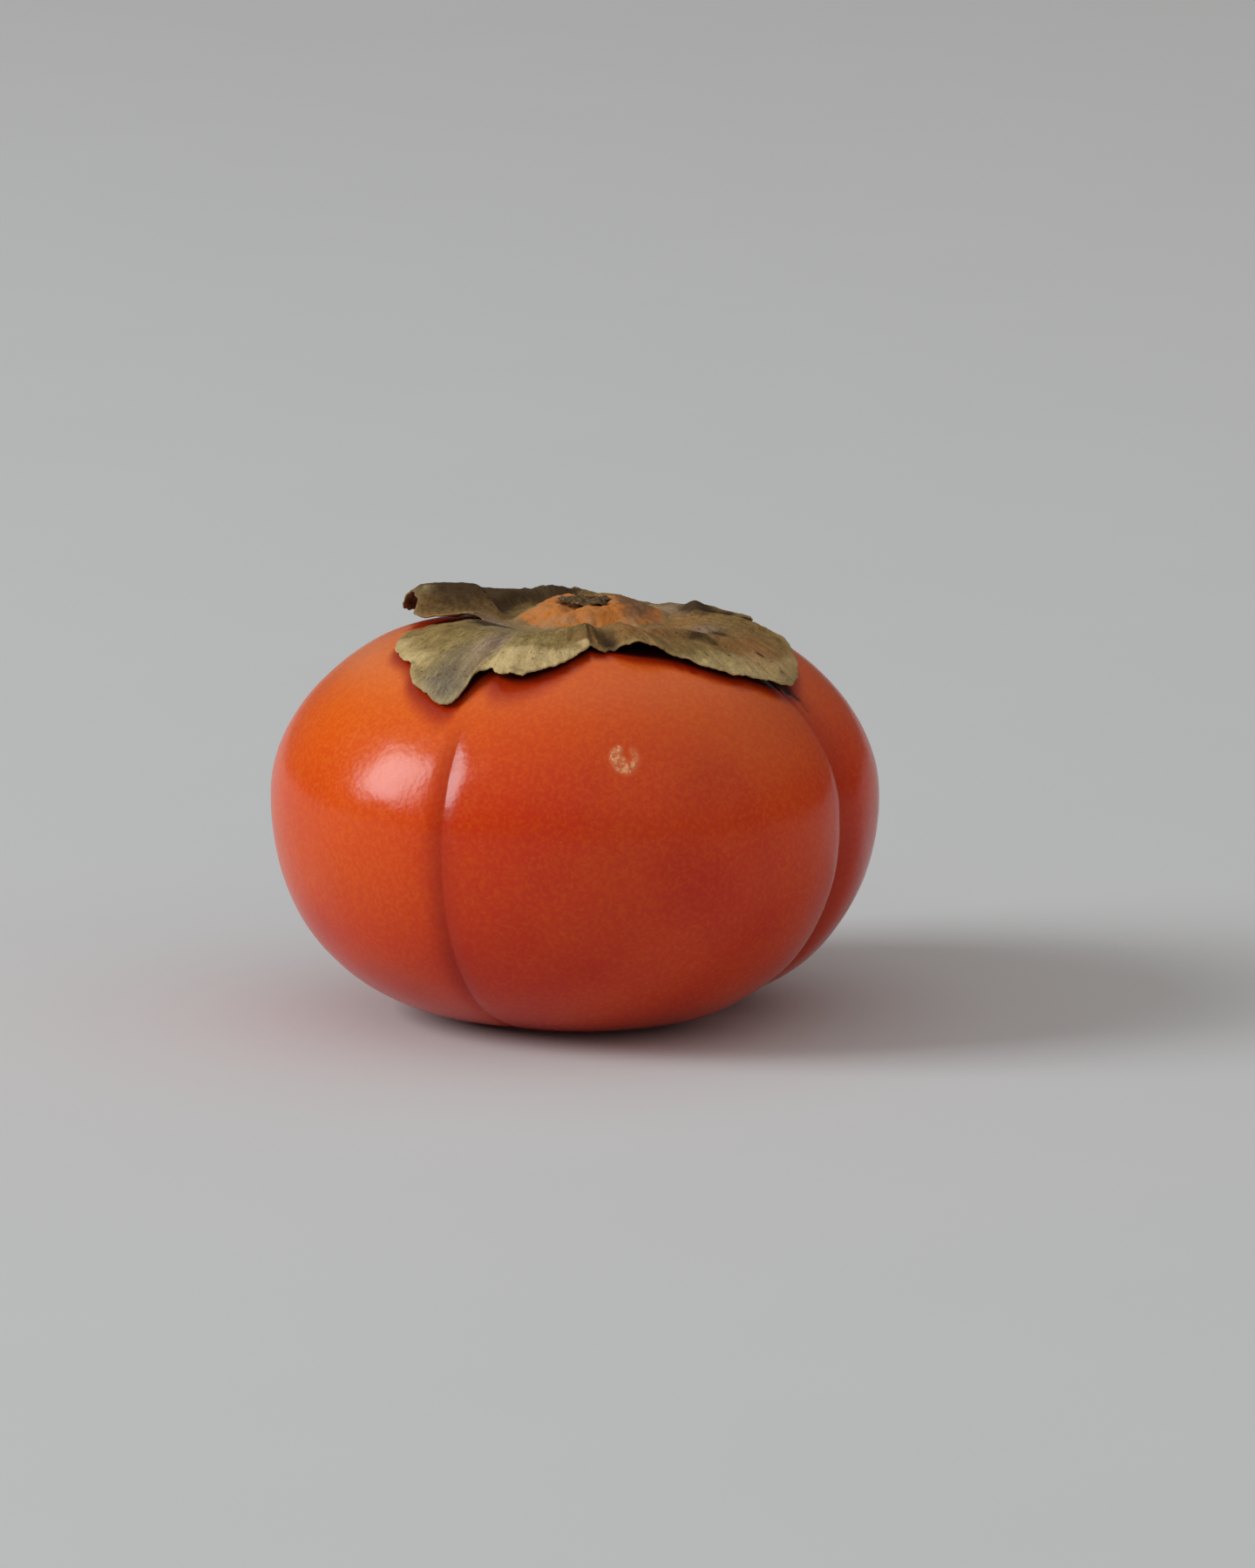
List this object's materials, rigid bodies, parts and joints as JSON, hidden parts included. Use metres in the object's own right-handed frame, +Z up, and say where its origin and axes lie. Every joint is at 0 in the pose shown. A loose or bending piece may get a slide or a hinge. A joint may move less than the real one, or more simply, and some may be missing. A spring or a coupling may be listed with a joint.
{
  "type": "persimmon",
  "caption": "Ripe squat lobed persimmon as picked, resting on its flat blossom end, with its dried calyx on top around an orange receptacle and a cut stalk.",
  "frame": {"origin": "on the ground, in the middle of the box round the whole fruit", "axes": "+Z up along the stalk's axis, -Y towards the front, where the drooping calyx lobe hangs a little to the left, +X to the right"},
  "size_m": [0.0796, 0.0798, 0.0553],
  "materials": {
    "skin": "satin",
    "dry_sepal": "matte",
    "receptacle": "matte",
    "stalk_wood": "matte",
    "dry_style": "matte"
  },
  "bodies": {
    "root": {"fruit": "skin", "calyx": "dry_sepal", "receptacle": "receptacle", "stalk_stub": "stalk_wood", "style_tip": "dry_style"}
  },
  "joints": []
}
